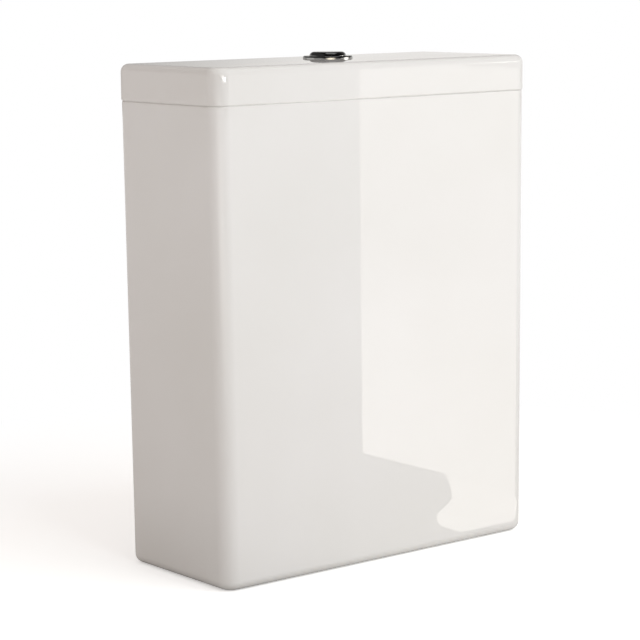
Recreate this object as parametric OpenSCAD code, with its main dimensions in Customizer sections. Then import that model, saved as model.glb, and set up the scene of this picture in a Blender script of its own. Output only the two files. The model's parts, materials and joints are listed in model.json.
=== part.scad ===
// Close-coupled toilet cistern with a dual-flush valve and a bottom-entry fill valve.
// Millimetres. The front faces -Y, the base rim stands on Z = 0 and the button's axis is the Z axis.

/* [Overall] */
// width over the lid
cistern_w = 350; // [330:1:400]
// depth over the lid
cistern_d = 144; // [138:1:180]
// height from the base rim to the top of the lid
cistern_h = 438; // [410:1:470]
// radius of the two front upright corners
front_r = 14; // [10:0.5:18]
// radius of the two back upright corners
back_r = 10; // [8.5:0.5:14]

/* [Tank] */
// thickness of the ceramic walls
wall = 9; // [7:0.5:11]
// thickness of the ceramic floor
floor_t = 12; // [9:0.5:15]
// height of the floor's underside above the base rim
skirt_h = 40; // [38:1:50]
// thickness of the skirt under the floor
skirt_t = 14; // [12:0.5:20]
// how far each side wall leans in from the rim to the base
side_draft = 3; // [0:0.5:6]
// rounding of the base edge
base_r = 8; // [4:0.5:8.5]
// rounding of the rim and of the lower edge of the lid
rim_r = 1.5; // [1:0.25:2]
// distance between the two holes for the pan bolts
bolt_spacing = 150; // [140:1:164]
// diameter of the pan bolt holes
bolt_hole_d = 14; // [10:0.5:16]
// width of the gap in the back of the skirt for the supply hose
hose_gap_w = 220; // [160:1:240]
// height of that gap
hose_gap_h = 30; // [20:1:34]

/* [Lid] */
// height of the lid's sides
lid_h = 31; // [27:0.5:40]
// thickness of the lid's top
lid_t = 10; // [8:0.5:13]
// thickness of the lid's sides
lid_wall = 11; // [10:0.5:13]
// rounding of the lid's upper edge
lid_r = 7; // [3:0.5:8]
// how far the lid stands out past the rim
lid_overhang = 0.4; // [0.2:0.1:2]
// gap between the rim and the lid
lid_gap = 0.5; // [0.3:0.1:1]
// thickness of the rubber pads that the lid rests on, sunk in its lower edge
pad_t = 1.5; // [1.2:0.1:2]
// length of each pad
pad_len = 24; // [16:1:30]
// distance of the middle of each pad from the end of the lid
pad_inset = 40; // [30:1:60]
// depth of the lugs that reach into the tank and keep the lid in place
lug_drop = 8; // [5:0.5:12]
// length of each lug
lug_len = 40; // [30:1:50]
// distance of the middle of each lug from the end of the lid
lug_inset = 70; // [66:1:90]

/* [Button unit] */
// outer diameter of the chrome bezel
bezel_d = 44; // [43.5:0.5:50]
// height of the bezel above the lid
bezel_h = 3; // [2.8:0.1:5]
// diameter of the divided button
button_d = 32.6; // [31:0.2:33]
// height of the button above the bezel
button_rise = 3.5; // [3.2:0.1:5]
// travel of each half of the button
button_travel = 5; // [4:0.25:6]
// distance of the dividing line from the button's centre
button_split = 2; // [0:0.1:2]
// distance of each push rod from the button's centre
rod_x = 8.8; // [8.7:0.05:9]
// diameter of the push rods
rod_d = 5; // [4:0.1:5]
// depth of the housing's floor below the top of the lid
housing_depth = 22; // [20:0.5:26]

/* [Flush valve] */
// bore of the outlet
outlet_d = 50; // [46:0.5:51]
// outer diameter of the outlet tail
tail_d = 59; // [58:0.5:60]
// length of the outlet tail below the tank floor
tail_len = 26; // [22:0.5:30]
// outer diameter of the lifting cup
cup_d = 68; // [66:0.5:69]
// height of the lifting cup
cup_h = 115; // [80:1:120]
// outer diameter of the overflow tube
tube_d = 28; // [24:0.5:29]
// height of the rocker pivots below the rim
pivot_drop = 52; // [46:1:60]
// length of each rocker from pivot to push pad
rocker_in = 21; // [20:0.5:23]
// length of each rocker from pivot to lifting nose
rocker_out = 24; // [21:0.5:27]
// diameter of the rocker pins
rocker_pin_d = 4; // [3:0.25:5]

/* [Fill valve] */
// distance of the fill valve from the left side of the tank
inlet_inset = 63; // [56:0.5:65]
// outer diameter of the inlet tail
inlet_d = 20.8; // [19:0.1:21]
// length of the inlet tail below the tank floor
inlet_len = 34; // [30:0.5:37]
// outer diameter of the sleeve around the riser
sleeve_d = 26; // [25:0.5:29]
// height of the valve head's underside below the rim
head_drop = 100; // [90:1:110]
// length of the lever from its pivot to the float link
lever_out = 32; // [30:0.5:33]
// tilt of the lever below level when the tank is empty, in degrees
lever_tilt = 17; // [12:0.5:18]
// height of the float
float_h = 46; // [36:1:54]

/* [Hidden] */

$fn = 64;
hull_fn = 32;
over = 1;
clear = 0.3;
pin_clear = 0.05;

lid_z = cistern_h - lid_h;
rim_z = lid_z - lid_gap;
rim_w = cistern_w - 2 * lid_overhang;
rim_d = cistern_d - 2 * lid_overhang;
base_w = rim_w - 2 * side_draft;
floor_top = skirt_h + floor_t;
tank_corner_r = 12;
tank_edge_r = 10;
skirt_corner_r = 8;
hose_gap_r = 10;
lid_hollow_top = cistern_h - lid_t;
lid_corner_r = 10;
pad_margin = 0.3;
pad_w = wall - 2 * rim_r - 2 * pad_margin;
pad_x = cistern_w / 2 - pad_inset;
pad_y = rim_d / 2 - rim_r - pad_margin - pad_w / 2;
pad_corner_r = 1.5;
pad_clear = 0.15;

bezel_r = bezel_d / 2;
button_r = button_d / 2;
bezel_foot_r = 0.7;
bezel_band = 0.1;
bezel_round = bezel_h - bezel_foot_r - bezel_band;
lip_t = 1;
lip_edge_r = 0.4;
lip_r = button_r + clear;
lip_z = cistern_h + bezel_h - lip_t;
button_top = cistern_h + bezel_h + button_rise;
button_round = 3;
button_wall = 1.6;
button_floor = 2;
button_under = button_top - button_floor;
button_flange_r = lip_r + 0.7;
button_flange_t = 1.8;
button_skirt_z = cistern_h - 3;
split_gap = 0.4;
bore_r = button_flange_r + clear;
barrel_r = bore_r + 1.5;
lid_hole_r = barrel_r + 0.4;
gasket_t = 0.6;
housing_flange_r = bezel_r - 1.3;
housing_floor_t = 2.5;
housing_floor = cistern_h - housing_depth;
nut_h = 7;
nut_r = barrel_r + 5;
rod_r = rod_d / 2;
boss_r = rod_r + 1.3;
socket_r = rod_r + 0.1;
socket_top = cistern_h + 1.5;
spring_wire = 0.4;
spring_mean = boss_r + spring_wire + 0.35;
spring_turns = 7;
spring_rings = 8;
spring_sides = 6;

pad_r = 3;
nose_r = 2.5;
pivot_z = rim_z - pivot_drop;
pivot_x = rod_x + rocker_in;
nose_x = pivot_x + rocker_out;
valve_lift = button_travel * rocker_out / rocker_in;
rod_tip = pivot_z + pad_r + clear;
rocker_w = 12;
rocker_hub_r = 4.6;
ear_gap = rocker_w + 0.8;
ear_t = 4;
ear_r = rocker_hub_r + 0.6;
rocker_pin_r = rocker_pin_d / 2;

outlet_r = outlet_d / 2;
tail_r = tail_d / 2;
outlet_nut_r = tail_r + 8;
outlet_nut_t = 12;
outlet_lug = 2;
coupling_w = 9;
coupling_h = 30;
coupling_lip = 6;
coupling_lip_h = 14;
coupling_edge = 2;
outlet_hole_r = tail_r + 3;
washer_t = 4;
base_flange_t = 4;
base_flange_r = 44;
collar_t = 3.4;
collar_h = 12;
collar_slot_w = 18;
deck_z = floor_top + washer_t + base_flange_t;
seat_h = 4;
seat_w = 4.5;
seal_t = 3;
seal_z = deck_z + seat_h;
cup_r = cup_d / 2;
cup_wall = 2.5;
cup_z = seal_z + seal_t;
cup_floor_t = 3;
cup_top = cup_z + cup_h;
tube_r = tube_d / 2;
tube_wall = 2.2;
port_r = tube_r + 6;
port_lip = 3;
port_lip_h = 2;
half_seal_t = 2.5;
half_seal_z = cup_z + cup_floor_t + port_lip_h;
tube_flange_r = port_r + port_lip + 2;
tube_flange_t = 2.5;
tube_top = pivot_z - pad_r - button_travel - 2 * valve_lift - 1.5;
tube_collar_z = cup_top + 4;
tube_collar_h = 3;
tube_float_h = 36;
tube_float_inset = 10;
tube_float_r = cup_r - tube_float_inset;
arm_h = 8;
arm_w = 8;
tube_arm_z = tube_collar_z + tube_collar_h + tube_float_h + 6;
cup_arm_z = cup_top - arm_h - 4;
strut_t = 4.5;
strut_gap = 1.5;
strut_x = nose_x + nose_r + strut_gap;
hook_z = pivot_z + nose_r + clear;
hook_t = 4.5;
column_r = base_flange_r - collar_t - 0.2;
column_t = 4;
column_w = 16;
head_t = 5;
head_gap = 8;
head_top = tube_top - head_gap;
guide_r = tube_r + 4;
guide_h = 14;

inlet_x = cistern_w / 2 - inlet_inset;
inlet_y = 6;
inlet_r = inlet_d / 2;
inlet_hole_r = inlet_r + 1.6;
inlet_bore_r = 6;
fill_washer_t = 3;
fill_nut_t = 10;
fill_nut_r = inlet_r + 7.6;
fill_nut_rim = 3.5;
groove_w = 1.5;
groove_t = 0.6;
shank_flange_r = 17;
shank_flange_t = 4;
shank_top = floor_top + fill_washer_t + shank_flange_t;
sleeve_r = sleeve_d / 2;
sleeve_wall = 2.8;
riser_clear = 0.2;
riser_r = sleeve_r - sleeve_wall - riser_clear;
sleeve_gap = 6;
sleeve_z = shank_top + sleeve_gap;
sleeve_slot_w = 10;
sleeve_slot_h = 14;
head_z = rim_z - head_drop;
head_h = 24;
head_r = 17;
chamber_r = 9;
diaphragm_t = 2;
diaphragm_r = 14;
cap_z = head_z + head_h;
cap_h = 9;
cap_r = head_r + 1;
cap_top = cap_z + cap_h;
lever_y = 10;
lever_in = 10;
lever_w = 10;
lever_hub_r = 3.6;
lever_end_r = 2.4;
lever_nose_r = 2.6;
lever_pad_r = 2.2;
lever_pad_t = 1.2;
lever_pin_r = 1.5;
lever_ear_t = 3;
lever_gap = 11;
lever_z = cap_top + lever_gap;
nozzle_r = 2.5;
bleed_r = 0.8;
nozzle_top = lever_z - lever_in * sin(lever_tilt) - (lever_nose_r + lever_pad_t) * cos(lever_tilt)
    - lever_pad_r * sin(lever_tilt) - clear;
link_r = 1.5;
link_y = lever_y + lever_out * (1 + cos(lever_tilt)) / 2;
link_collar_r = 3.6;
link_collar_t = 2.5;
link_tip = 10;
link_foot_r = 5;
link_foot_h = 3;
link_end_z = lever_z - lever_out * sin(lever_tilt);
fork_slot = 2 * link_r + 0.8;
fork_depth = 5;
fork_cut = lever_end_r + over;
float_rise = 2 * lever_out * sin(lever_tilt);
float_wall = 2;
float_w = 42;
float_corner_r = 8;
float_drop = 70;
float_back = sleeve_r + 5;
float_front = link_y + 7;
float_z = head_z - float_drop;
stop_h = 5;
stop_rim = 3;
stop_slope = 1.5;
stop_r = sleeve_r + stop_rim;

echo(float_rise_mm = float_rise, valve_lift_mm = valve_lift, pivot = [pivot_x, pivot_z]);
echo(lever_pivot = [-inlet_x, inlet_y - lever_y, lever_z], rim = rim_z, head_top = head_top);

// Points of an arc about a centre, from angle a to angle b.
function arc(x, y, r, a, b, n) =
    [for (i = [0 : n]) [x + r * cos(a + (b - a) * i / n), y + r * sin(a + (b - a) * i / n)]];

// Centres and radii of the four upright corners of a box seen from above.
function corners(w, d, rf, rb) = [
    [-w / 2 + rf, -d / 2 + rf, rf],
    [w / 2 - rf, -d / 2 + rf, rf],
    [w / 2 - rb, d / 2 - rb, rb],
    [-w / 2 + rb, d / 2 - rb, rb]];

// Outline of a rectangle with round corners, centred on the origin.
function rounded(w, d, r) = concat(
    arc(w / 2 - r, d / 2 - r, r, 0, 90, 6),
    arc(-w / 2 + r, d / 2 - r, r, 90, 180, 6),
    arc(-w / 2 + r, -d / 2 + r, r, 180, 270, 6),
    arc(w / 2 - r, -d / 2 + r, r, 270, 360, 6));

// Upright post with its lower and upper edges rounded.
module post(r, h, low, high) {
    lower = low > 0 ? arc(r - low, low, low, -90, 0, 6) : [[r, 0]];
    upper = high > 0 ? arc(r - high, h - high, high, 0, 90, 6) : [[r, h]];
    rotate_extrude($fn = hull_fn)
        polygon(concat([[0, 0]], lower, upper, [[0, h]]));
}

// Box with round upright corners, w0 wide at the bottom and w1 wide at the top.
module vessel(w0, w1, d, rf, rb, h, low, high) {
    foot = max(low, 1);
    head = max(high, 1);
    hull() {
        for (c = corners(w0, d, rf, rb))
            translate([c[0], c[1], 0])
                post(c[2], foot, low, 0);
        for (c = corners(w1, d, rf, rb))
            translate([c[0], c[1], h - head])
                post(c[2], head, 0, high);
    }
}

// Flat ring with its lower face on Z = 0.
module ring(ro, ri, h) {
    difference() {
        cylinder(r = ro, h = h);
        translate([0, 0, -over])
            cylinder(r = ri, h = h + 2 * over);
    }
}

// Side profile drawn in X and Z, given a thickness along Y.
module across(t) {
    rotate([90, 0, 0])
        translate([0, 0, -t / 2])
            linear_extrude(height = t)
                children();
}

// Round bar lying along Y at distance x from the origin.
module roller(x, r, w) {
    translate([x, 0, 0])
        rotate([90, 0, 0])
            cylinder(r = r, h = w, center = true);
}

// Moves the fill valve's pieces from the origin to the inlet hole.
module at_inlet() {
    translate([-inlet_x, inlet_y, 0])
        children();
}

module cistern_body() {
    color("white")
        difference() {
            vessel(base_w, rim_w, rim_d, front_r, back_r, rim_z, base_r, rim_r);
            translate([0, 0, floor_top])
                vessel(base_w - 2 * wall, rim_w - 2 * wall, rim_d - 2 * wall, tank_corner_r,
                    tank_corner_r, rim_z - floor_top + over, tank_edge_r, 0);
            translate([0, 0, -over])
                vessel(base_w - 2 * skirt_t, base_w - 2 * skirt_t, rim_d - 2 * skirt_t, skirt_corner_r,
                    skirt_corner_r, skirt_h + over, 0, 4);
            translate([0, 0, skirt_h - over])
                cylinder(r = outlet_hole_r, h = floor_t + 2 * over);
            for (x = [-bolt_spacing / 2, bolt_spacing / 2])
                translate([x, 0, skirt_h - over])
                    cylinder(d = bolt_hole_d, h = floor_t + 2 * over);
            at_inlet()
                translate([0, 0, skirt_h - over])
                    cylinder(r = inlet_hole_r, h = floor_t + 2 * over);
            translate([0, rim_d / 2 - skirt_t / 2, 0])
                across(skirt_t + 4)
                    polygon(concat([[hose_gap_w / 2, -over]],
                        arc(hose_gap_w / 2 - hose_gap_r, hose_gap_h - hose_gap_r, hose_gap_r, 0, 90, 6),
                        arc(-hose_gap_w / 2 + hose_gap_r, hose_gap_h - hose_gap_r, hose_gap_r, 90, 180, 6),
                        [[-hose_gap_w / 2, -over]]));
        }
}

// One lug cast on the lid, reaching down inside the tank wall.
module lid_lug() {
    inner = cistern_d / 2 - lid_wall;
    face = min(inner, rim_d / 2 - wall) - 2;
    rotate([90, 0, 90])
        translate([0, 0, -lug_len / 2])
            linear_extrude(height = lug_len)
                polygon([[inner + over, lid_z + 2], [inner + over, lid_hollow_top + over],
                    [face - 8, lid_hollow_top + over], [face - 6, lid_z - lug_drop],
                    [face - 1.5, lid_z - lug_drop], [face, lid_z - lug_drop + 1.5], [face, lid_z + 2]]);
}

// The four pads, drawn larger by grow all round, from height z up by h.
module pad_shapes(z, h, grow) {
    for (x = [-pad_x, pad_x])
        for (y = [-pad_y, pad_y])
            translate([x, y, z])
                linear_extrude(height = h)
                    polygon(rounded(pad_len + 2 * grow, pad_w + 2 * grow, pad_corner_r + grow));
}

module lid() {
    lug_x = cistern_w / 2 - lug_inset;
    color("white")
        difference() {
            union() {
                difference() {
                    translate([0, 0, lid_z])
                        vessel(cistern_w, cistern_w, cistern_d, front_r, back_r, lid_h, rim_r, lid_r);
                    translate([0, 0, lid_z - over])
                        vessel(cistern_w - 2 * lid_wall, cistern_w - 2 * lid_wall,
                            cistern_d - 2 * lid_wall, lid_corner_r, lid_corner_r,
                            lid_h - lid_t + over, 0, 4);
                }
                for (x = [-lug_x, lug_x])
                    for (a = [0, 180])
                        rotate([0, 0, a])
                            translate([x, 0, 0])
                                lid_lug();
            }
            translate([0, 0, lid_hollow_top - over])
                cylinder(r = lid_hole_r, h = lid_t + 2 * over);
            pad_shapes(lid_z - over, pad_t - lid_gap + over, pad_clear);
        }
}

module lid_pads() {
    color("dimgray")
        pad_shapes(rim_z, pad_t, 0);
}

module button_gasket() {
    color("dimgray")
        translate([0, 0, cistern_h])
            ring(housing_flange_r, lid_hole_r, gasket_t);
}

module button_bezel() {
    inner = housing_flange_r + 0.1;
    color("silver")
        translate([0, 0, cistern_h])
            rotate_extrude()
                polygon(concat(
                    arc(bezel_r - bezel_foot_r, bezel_foot_r, bezel_foot_r, -90, 0, 4),
                    arc(bezel_r - bezel_round, bezel_h - bezel_round, bezel_round, 0, 90, 8),
                    arc(lip_r + lip_edge_r, bezel_h - lip_edge_r, lip_edge_r, 90, 180, 3),
                    [[lip_r, bezel_h - lip_t], [inner, bezel_h - lip_t], [inner, 0]]));
}

module button_housing() {
    top = lip_z;
    bottom = housing_floor - housing_floor_t;
    color("gainsboro")
        difference() {
            union() {
                rotate_extrude()
                    polygon([[0, bottom], [barrel_r - 1, bottom], [barrel_r, bottom + 1],
                        [barrel_r, cistern_h + gasket_t], [housing_flange_r, cistern_h + gasket_t],
                        [housing_flange_r, top], [bore_r, top], [bore_r, housing_floor],
                        [0, housing_floor]]);
                for (x = [-rod_x, rod_x])
                    translate([x, 0, bottom - 8])
                        cylinder(r = rod_r + 2.2, h = 8 + housing_floor_t / 2);
            }
            for (x = [-rod_x, rod_x])
                translate([x, 0, bottom - 8 - over])
                    cylinder(r = rod_r + clear, h = 8 + housing_floor_t + 2 * over);
        }
}

module button_nut() {
    color("gainsboro")
        translate([0, 0, lid_hollow_top - nut_h])
            difference() {
                union() {
                    cylinder(r = nut_r, h = nut_h);
                    for (a = [0 : 45 : 315])
                        rotate([0, 0, a])
                            translate([nut_r - 2, -2.5, 0])
                                cube([4, 5, nut_h - 1.5]);
                }
                translate([0, 0, -over])
                    cylinder(r = barrel_r + 0.1, h = nut_h + 2 * over);
            }
}

// The undivided button cap as a solid of revolution, hollow or filled.
module cap_blank(hollow) {
    inner = button_r - button_wall;
    outer = concat([[button_r, button_skirt_z], [button_r, lip_z - button_flange_t],
        [button_flange_r, lip_z - button_flange_t], [button_flange_r, lip_z], [button_r, lip_z]],
        arc(button_r - button_round, button_top - button_round, button_round, 0, 90, 8),
        [[0, button_top]]);
    inside = hollow
        ? [[0, button_under], [inner, button_under], [inner, button_skirt_z]]
        : [[0, button_skirt_z]];
    rotate_extrude()
        polygon(concat(outer, inside));
}

// One half of the button: side is -1 for the half left of the dividing line and 1 for the other half.
module button_half(side) {
    reach = button_flange_r + over;
    edge = side * button_split + split_gap / 2;
    height = button_top - button_skirt_z;
    rotate([0, 0, side > 0 ? 0 : 180])
        difference() {
            intersection() {
                union() {
                    cap_blank(true);
                    intersection() {
                        cap_blank(false);
                        translate([edge - over, -reach, button_skirt_z - over])
                            cube([1.2 + over, 2 * reach, height + 2 * over]);
                    }
                    translate([rod_x, 0, button_skirt_z])
                        cylinder(r = boss_r, h = height - button_floor / 2);
                }
                translate([edge, -reach, button_skirt_z - over])
                    cube([2 * reach, 2 * reach, height + 2 * over]);
            }
            translate([rod_x, 0, button_skirt_z - over])
                cylinder(r = socket_r, h = socket_top - button_skirt_z + over);
        }
}

module full_button() {
    color("silver")
        button_half(-1);
}

module half_button() {
    color("silver")
        button_half(1);
}

// Centre of the spring wire at ring i, counted from the housing floor.
function coil_at(i) = let(a = 360 * i / spring_rings, k = i / (spring_turns * spring_rings))
    [spring_mean * cos(a), spring_mean * sin(a),
        housing_floor + spring_wire + k * (button_under - housing_floor - 2 * spring_wire)];

coil_last = spring_turns * spring_rings;
coil_gaps = [for (i = [0 : coil_last - 5]) for (j = [i + 5 : coil_last]) norm(coil_at(i) - coil_at(j))];
echo(spring_self_gap_mm = min(coil_gaps) - 2 * spring_wire);

// One unbroken wire wound as a helix.
module coil() {
    rise = (button_under - housing_floor - 2 * spring_wire) / spring_turns;
    lean = atan(rise / (2 * PI * spring_mean));
    points = [for (i = [0 : coil_last]) for (k = [0 : spring_sides - 1])
        let(a = 360 * i / spring_rings, b = 360 * (k + 0.5) / spring_sides, c = coil_at(i),
            u = [cos(a), sin(a), 0], v = [sin(a) * sin(lean), -cos(a) * sin(lean), cos(lean)])
        c + spring_wire * (cos(b) * u + sin(b) * v)];
    sides = [for (i = [0 : coil_last - 1]) for (k = [0 : spring_sides - 1]) for (half = [0, 1])
        let(n = (k + 1) % spring_sides, p = i * spring_sides, q = p + spring_sides)
        half == 0 ? [p + k, p + n, q + n] : [p + k, q + n, q + k]];
    first = [for (k = [spring_sides - 1 : -1 : 0]) k];
    last = [for (k = [0 : spring_sides - 1]) coil_last * spring_sides + k];
    polyhedron(points = points, faces = concat(sides, [first], [last]));
}

module full_spring() {
    color("lightgray")
        translate([-rod_x, 0, 0])
            coil();
}

module half_spring() {
    color("lightgray")
        translate([rod_x, 0, 0])
            coil();
}

// Push rod with a rounded tip.
module rod() {
    rotate_extrude()
        polygon(concat([[0, rod_tip]], arc(rod_r - 1, rod_tip + 1, 1, -90, 0, 4),
            [[rod_r, socket_top], [0, socket_top]]));
}

module full_rod() {
    color("whitesmoke")
        translate([-rod_x, 0, 0])
            rod();
}

module half_rod() {
    color("whitesmoke")
        translate([rod_x, 0, 0])
            rod();
}

module outlet_washer() {
    color("dimgray")
        translate([0, 0, floor_top])
            ring(base_flange_r - 1, tail_r + 0.2, washer_t);
}

module valve_base() {
    tail_z = skirt_h - tail_len;
    collar_r = base_flange_r - collar_t;
    color("gainsboro")
        difference() {
            union() {
                rotate_extrude()
                    polygon([[outlet_r, tail_z], [tail_r - 1.5, tail_z], [tail_r, tail_z + 1.5],
                        [tail_r, floor_top + washer_t], [base_flange_r, floor_top + washer_t],
                        [base_flange_r, deck_z + collar_h], [collar_r, deck_z + collar_h],
                        [collar_r, deck_z], [outlet_r + seat_w, deck_z],
                        [outlet_r + seat_w, seal_z - 1], [outlet_r + seat_w - 1, seal_z],
                        [outlet_r, seal_z]]);
            }
            for (a = [45 : 90 : 315])
                rotate([0, 0, a])
                    translate([collar_r - 2, -collar_slot_w / 2, deck_z + 2])
                        cube([collar_t + 4, collar_slot_w, collar_h]);
        }
}

module outlet_nut() {
    color("whitesmoke")
        translate([0, 0, skirt_h - outlet_nut_t])
            difference() {
                union() {
                    cylinder(r = outlet_nut_r, h = outlet_nut_t);
                    for (a = [0 : 45 : 315])
                        rotate([0, 0, a])
                            translate([outlet_nut_r - 2, -4, 0])
                                cube([2 + outlet_lug, 8, outlet_nut_t - 2]);
                }
                translate([0, 0, -over])
                    cylinder(r = tail_r + 0.1, h = outlet_nut_t + 2 * over);
            }
}

module coupling_gasket() {
    inner = outlet_nut_r + outlet_lug + 0.8;
    outer = inner + coupling_w;
    color("dimgray")
        translate([0, 0, skirt_h - coupling_h])
            rotate_extrude()
                polygon([[inner, 0], [outer - coupling_lip, 0],
                    [outer - coupling_lip + coupling_edge, coupling_edge], [outer, coupling_lip_h],
                    [outer, coupling_h], [inner, coupling_h]]);
}

module valve_tower() {
    color("skyblue")
        difference() {
            union() {
                translate([0, 0, deck_z])
                    ring(column_r, column_r - column_t, collar_h - 4);
                intersection() {
                    translate([0, 0, deck_z])
                        ring(column_r, column_r - column_t, head_top - deck_z);
                    translate([-column_w / 2, -column_r - over, deck_z + 2])
                        cube([column_w, 2 * column_r + 2 * over, head_top - deck_z]);
                }
                translate([-column_w / 2 + 2, -column_r + 1.8, head_top - head_t])
                    cube([column_w - 4, 2 * column_r - 3.6, head_t - 0.5]);
                translate([-pivot_x - ear_r - 1, -ear_gap / 2 - ear_t, head_top - head_t])
                    cube([2 * pivot_x + 2 * ear_r + 2, ear_gap + 2 * ear_t, head_t]);
                translate([0, 0, head_top - head_t - guide_h / 2])
                    cylinder(r = guide_r, h = guide_h);
                for (x = [-pivot_x, pivot_x])
                    for (y = [-ear_gap / 2 - ear_t, ear_gap / 2]) {
                        translate([x - ear_r + 0.8, y, head_top - over])
                            cube([2 * ear_r - 1.6, ear_t, pivot_z - head_top + over]);
                        translate([x, y, pivot_z])
                            rotate([-90, 0, 0])
                                cylinder(r = ear_r, h = ear_t);
                    }
            }
            translate([0, 0, head_top - head_t - guide_h])
                cylinder(r = tube_r + clear, h = 3 * guide_h);
            for (x = [-pivot_x, pivot_x])
                translate([x, 0, pivot_z])
                    rotate([90, 0, 0])
                        cylinder(r = rocker_pin_r + pin_clear, h = 4 * rocker_w, center = true);
        }
}

module rocker_pins() {
    length = ear_gap + 2 * ear_t + 2;
    color("lightgray")
        for (x = [-pivot_x, pivot_x])
            translate([x, -length / 2, pivot_z])
                rotate([-90, 0, 0]) {
                    cylinder(r = rocker_pin_r, h = length);
                    translate([0, 0, -1.2])
                        cylinder(r = rocker_pin_r + 1.2, h = 2);
                }
}

// Rocker of the right-hand side, level, with its pivot at pivot_x and pivot_z.
module rocker() {
    difference() {
        translate([pivot_x, 0, pivot_z])
            union() {
                roller(0, rocker_hub_r, rocker_w);
                roller(-rocker_in, pad_r, rocker_w);
                roller(rocker_out, nose_r, rocker_w);
                across(rocker_w - 3)
                    polygon([[-rocker_in, -2], [-rocker_in, 2], [0, 3.6], [rocker_out, 1.6],
                        [rocker_out, -1.6], [0, -3.6]]);
            }
        translate([pivot_x, 0, pivot_z])
            rotate([90, 0, 0])
                cylinder(r = rocker_pin_r + pin_clear, h = 2 * rocker_w, center = true);
    }
}

module full_rocker() {
    color("royalblue")
        rotate([0, 0, 180])
            rocker();
}

module half_rocker() {
    color("skyblue")
        rocker();
}

// Arm, strut and hook on the right-hand side, from radius r at height z up to the rocker's nose.
module lift_strut(r, z) {
    out = strut_x + strut_t;
    top = hook_z + hook_t;
    across(arm_w)
        polygon([[r - 1.2, z], [out - 5, z], [out, z + 5], [out, top - 2], [out - 2, top],
            [nose_x - 4, top], [nose_x - 4, hook_z], [strut_x, hook_z],
            [strut_x, z + arm_h + 5], [strut_x - 5, z + arm_h], [r - 1.2, z + arm_h]]);
}

module valve_cup() {
    color("white")
        union() {
            translate([0, 0, cup_z])
                rotate_extrude()
                    polygon([[port_r, 0], [cup_r - 1.5, 0], [cup_r, 1.5], [cup_r, cup_h],
                        [cup_r - cup_wall, cup_h], [cup_r - cup_wall, cup_floor_t],
                        [port_r + port_lip, cup_floor_t],
                        [port_r + port_lip - 0.8, cup_floor_t + port_lip_h],
                        [port_r, cup_floor_t + port_lip_h]]);
            rotate([0, 0, 180])
                lift_strut(cup_r, cup_arm_z);
        }
}

module main_seal() {
    color("firebrick")
        translate([0, 0, seal_z])
            ring(outlet_r + seat_w + 2, outlet_r - 2, seal_t);
}

module overflow_tube() {
    bottom = cup_z + 0.5;
    flange_z = half_seal_z + half_seal_t;
    bore = tube_r - tube_wall;
    color("royalblue")
        union() {
            rotate_extrude()
                polygon([[bore, bottom], [tube_r, bottom], [tube_r, flange_z], [tube_flange_r, flange_z],
                    [tube_flange_r, flange_z + tube_flange_t], [tube_r + 2, flange_z + tube_flange_t],
                    [tube_r, flange_z + tube_flange_t + 6], [tube_r, tube_collar_z],
                    [tube_r + 3, tube_collar_z], [tube_r + 3, tube_collar_z + tube_collar_h],
                    [tube_r, tube_collar_z + tube_collar_h], [tube_r, tube_top - 1],
                    [tube_r - 1, tube_top], [bore, tube_top]]);
            lift_strut(tube_r, tube_arm_z);
        }
}

module half_seal() {
    color("firebrick")
        translate([0, 0, half_seal_z])
            ring(tube_flange_r, tube_r + 0.2, half_seal_t);
}

module tube_float() {
    color("whitesmoke")
        translate([0, 0, tube_collar_z + tube_collar_h])
            rotate_extrude()
                polygon(concat([[tube_r + 0.15, 0]], arc(tube_float_r - 3, 3, 3, -90, 0, 6),
                    arc(tube_float_r - 3, tube_float_h - 3, 3, 0, 90, 6),
                    [[tube_r + 0.15, tube_float_h]]));
}

module fill_washer() {
    color("dimgray")
        at_inlet()
            translate([0, 0, floor_top])
                ring(shank_flange_r - 0.5, inlet_r + 0.2, fill_washer_t);
}

module fill_shank() {
    tail_z = skirt_h - inlet_len;
    nut_z = skirt_h - fill_nut_t;
    color("gainsboro")
        at_inlet()
            rotate_extrude()
                polygon([[inlet_bore_r, tail_z], [inlet_r - 1, tail_z], [inlet_r, tail_z + 1],
                    [inlet_r, nut_z - groove_w], [inlet_r - groove_t, nut_z - groove_w],
                    [inlet_r - groove_t, nut_z], [inlet_r, nut_z],
                    [inlet_r, floor_top + fill_washer_t], [shank_flange_r, floor_top + fill_washer_t],
                    [shank_flange_r, shank_top - 1], [shank_flange_r - 1, shank_top],
                    [riser_r, shank_top], [riser_r, head_z], [inlet_bore_r, head_z]]);
}

module fill_nut() {
    color("whitesmoke")
        at_inlet()
            translate([0, 0, skirt_h - fill_nut_t])
                difference() {
                    union() {
                        cylinder(r = fill_nut_r, h = fill_nut_t - fill_nut_rim + over, $fn = 6);
                        translate([0, 0, fill_nut_t - fill_nut_rim])
                            cylinder(r = fill_nut_r + 0.5, h = fill_nut_rim);
                    }
                    translate([0, 0, -over])
                        cylinder(r = inlet_r + 0.1, h = fill_nut_t + 2 * over);
                }
}

module riser_sleeve() {
    color("white")
        at_inlet()
            difference() {
                rotate_extrude()
                    polygon([[sleeve_r - sleeve_wall, sleeve_z], [sleeve_r, sleeve_z],
                        [sleeve_r, float_z - stop_h], [stop_r, float_z - stop_h + stop_slope],
                        [stop_r, float_z], [sleeve_r, float_z], [sleeve_r, head_z],
                        [sleeve_r - sleeve_wall, head_z]]);
                for (a = [0, 90])
                    rotate([0, 0, a])
                        translate([-sleeve_slot_w / 2, -stop_r, sleeve_z - over])
                            cube([sleeve_slot_w, 2 * stop_r, sleeve_slot_h + over]);
            }
}

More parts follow.
